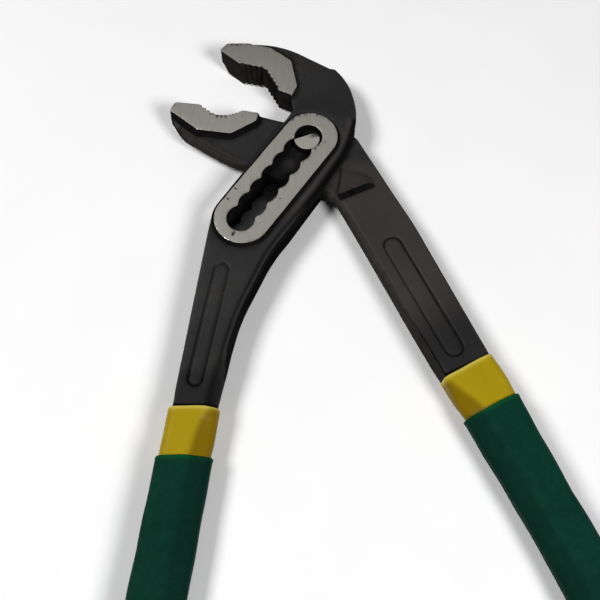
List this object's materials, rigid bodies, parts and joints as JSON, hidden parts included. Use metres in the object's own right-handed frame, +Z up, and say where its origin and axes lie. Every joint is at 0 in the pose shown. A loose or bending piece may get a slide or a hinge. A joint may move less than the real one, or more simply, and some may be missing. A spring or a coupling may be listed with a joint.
{
  "type": "water pump pliers",
  "caption": "Box-joint water pump pliers with a notched slot, a sliding pivot pin, toothed offset jaws, a pinch stop and double-dipped handle sleeves",
  "frame": {"origin": "middle of the tool's plan outline, on the plane it lies on", "axes": "+Y runs from the handle ends towards the jaws, +X towards the right handle, +Z up through the thickness along the pivot axis"},
  "size_m": [0.162, 0.2488, 0.012],
  "materials": {
    "black_steel": "black oxide forging, satin, with ground bare jaw faces and box faces",
    "ground_steel": "ground bare steel",
    "yellow_dip": "glossy dipped vinyl",
    "green_dip": "matte pebbled dipped vinyl"
  },
  "bodies": {
    "slotted_arm": {"slotted_arm": "black_steel", "left_sleeve_base": "yellow_dip", "left_grip": "green_dip"},
    "pivot_pin": {"pivot_pin": "ground_steel"},
    "inner_arm": {"inner_arm": "black_steel", "right_sleeve_base": "yellow_dip", "right_grip": "green_dip"}
  },
  "joints": [
    {"name": "notch_slide", "type": "slide", "parent": "slotted_arm", "child": "pivot_pin", "axis": [-0.5736, -0.8192, 0], "range_m": [0, 0.039]},
    {"name": "jaw_hinge", "type": "hinge", "parent": "pivot_pin", "child": "inner_arm", "pos_m": [-0.02291, 0.08271, 0.006], "axis": [0, 0, 1], "range_deg": [-11.5, 34]}
  ]
}
